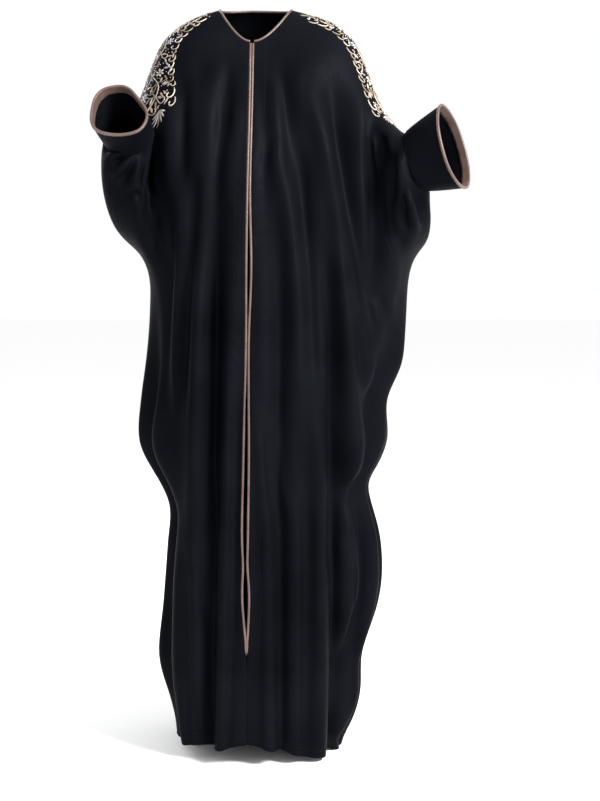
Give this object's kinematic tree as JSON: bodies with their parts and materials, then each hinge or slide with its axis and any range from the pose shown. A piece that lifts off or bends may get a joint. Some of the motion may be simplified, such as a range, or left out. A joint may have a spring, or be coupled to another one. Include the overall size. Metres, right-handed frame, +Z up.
{
  "type": "abaya cloak",
  "caption": "Long black open-front batwing cloak in its hollow worn form, with flared cuffs, rose piping down the front edges and round the neck.",
  "frame": {"origin": "midway between the wearer's shoulders, level with the shoulder points, where the cloak is carried", "axes": "+Z up along the length, +X towards the wearer's left, -Y towards the open front"},
  "size_m": [0.6749, 0.408, 1.4008],
  "materials": {
    "black_crepe": "smooth satin-faced crepe with a soft bluish sheen",
    "rose_satin": "satin bias strip with a soft gloss",
    "metallic_thread": "embroidery in beige gold, rose and silver thread"
  },
  "bodies": {
    "root": {"back_panel": "black_crepe", "right_front": "black_crepe", "left_front": "black_crepe", "right_cuff": "black_crepe", "left_cuff": "black_crepe", "right_cuff_binding": "rose_satin", "left_cuff_binding": "rose_satin", "right_edge_piping": "rose_satin", "left_edge_piping": "rose_satin", "neck_binding": "rose_satin"}
  },
  "joints": []
}
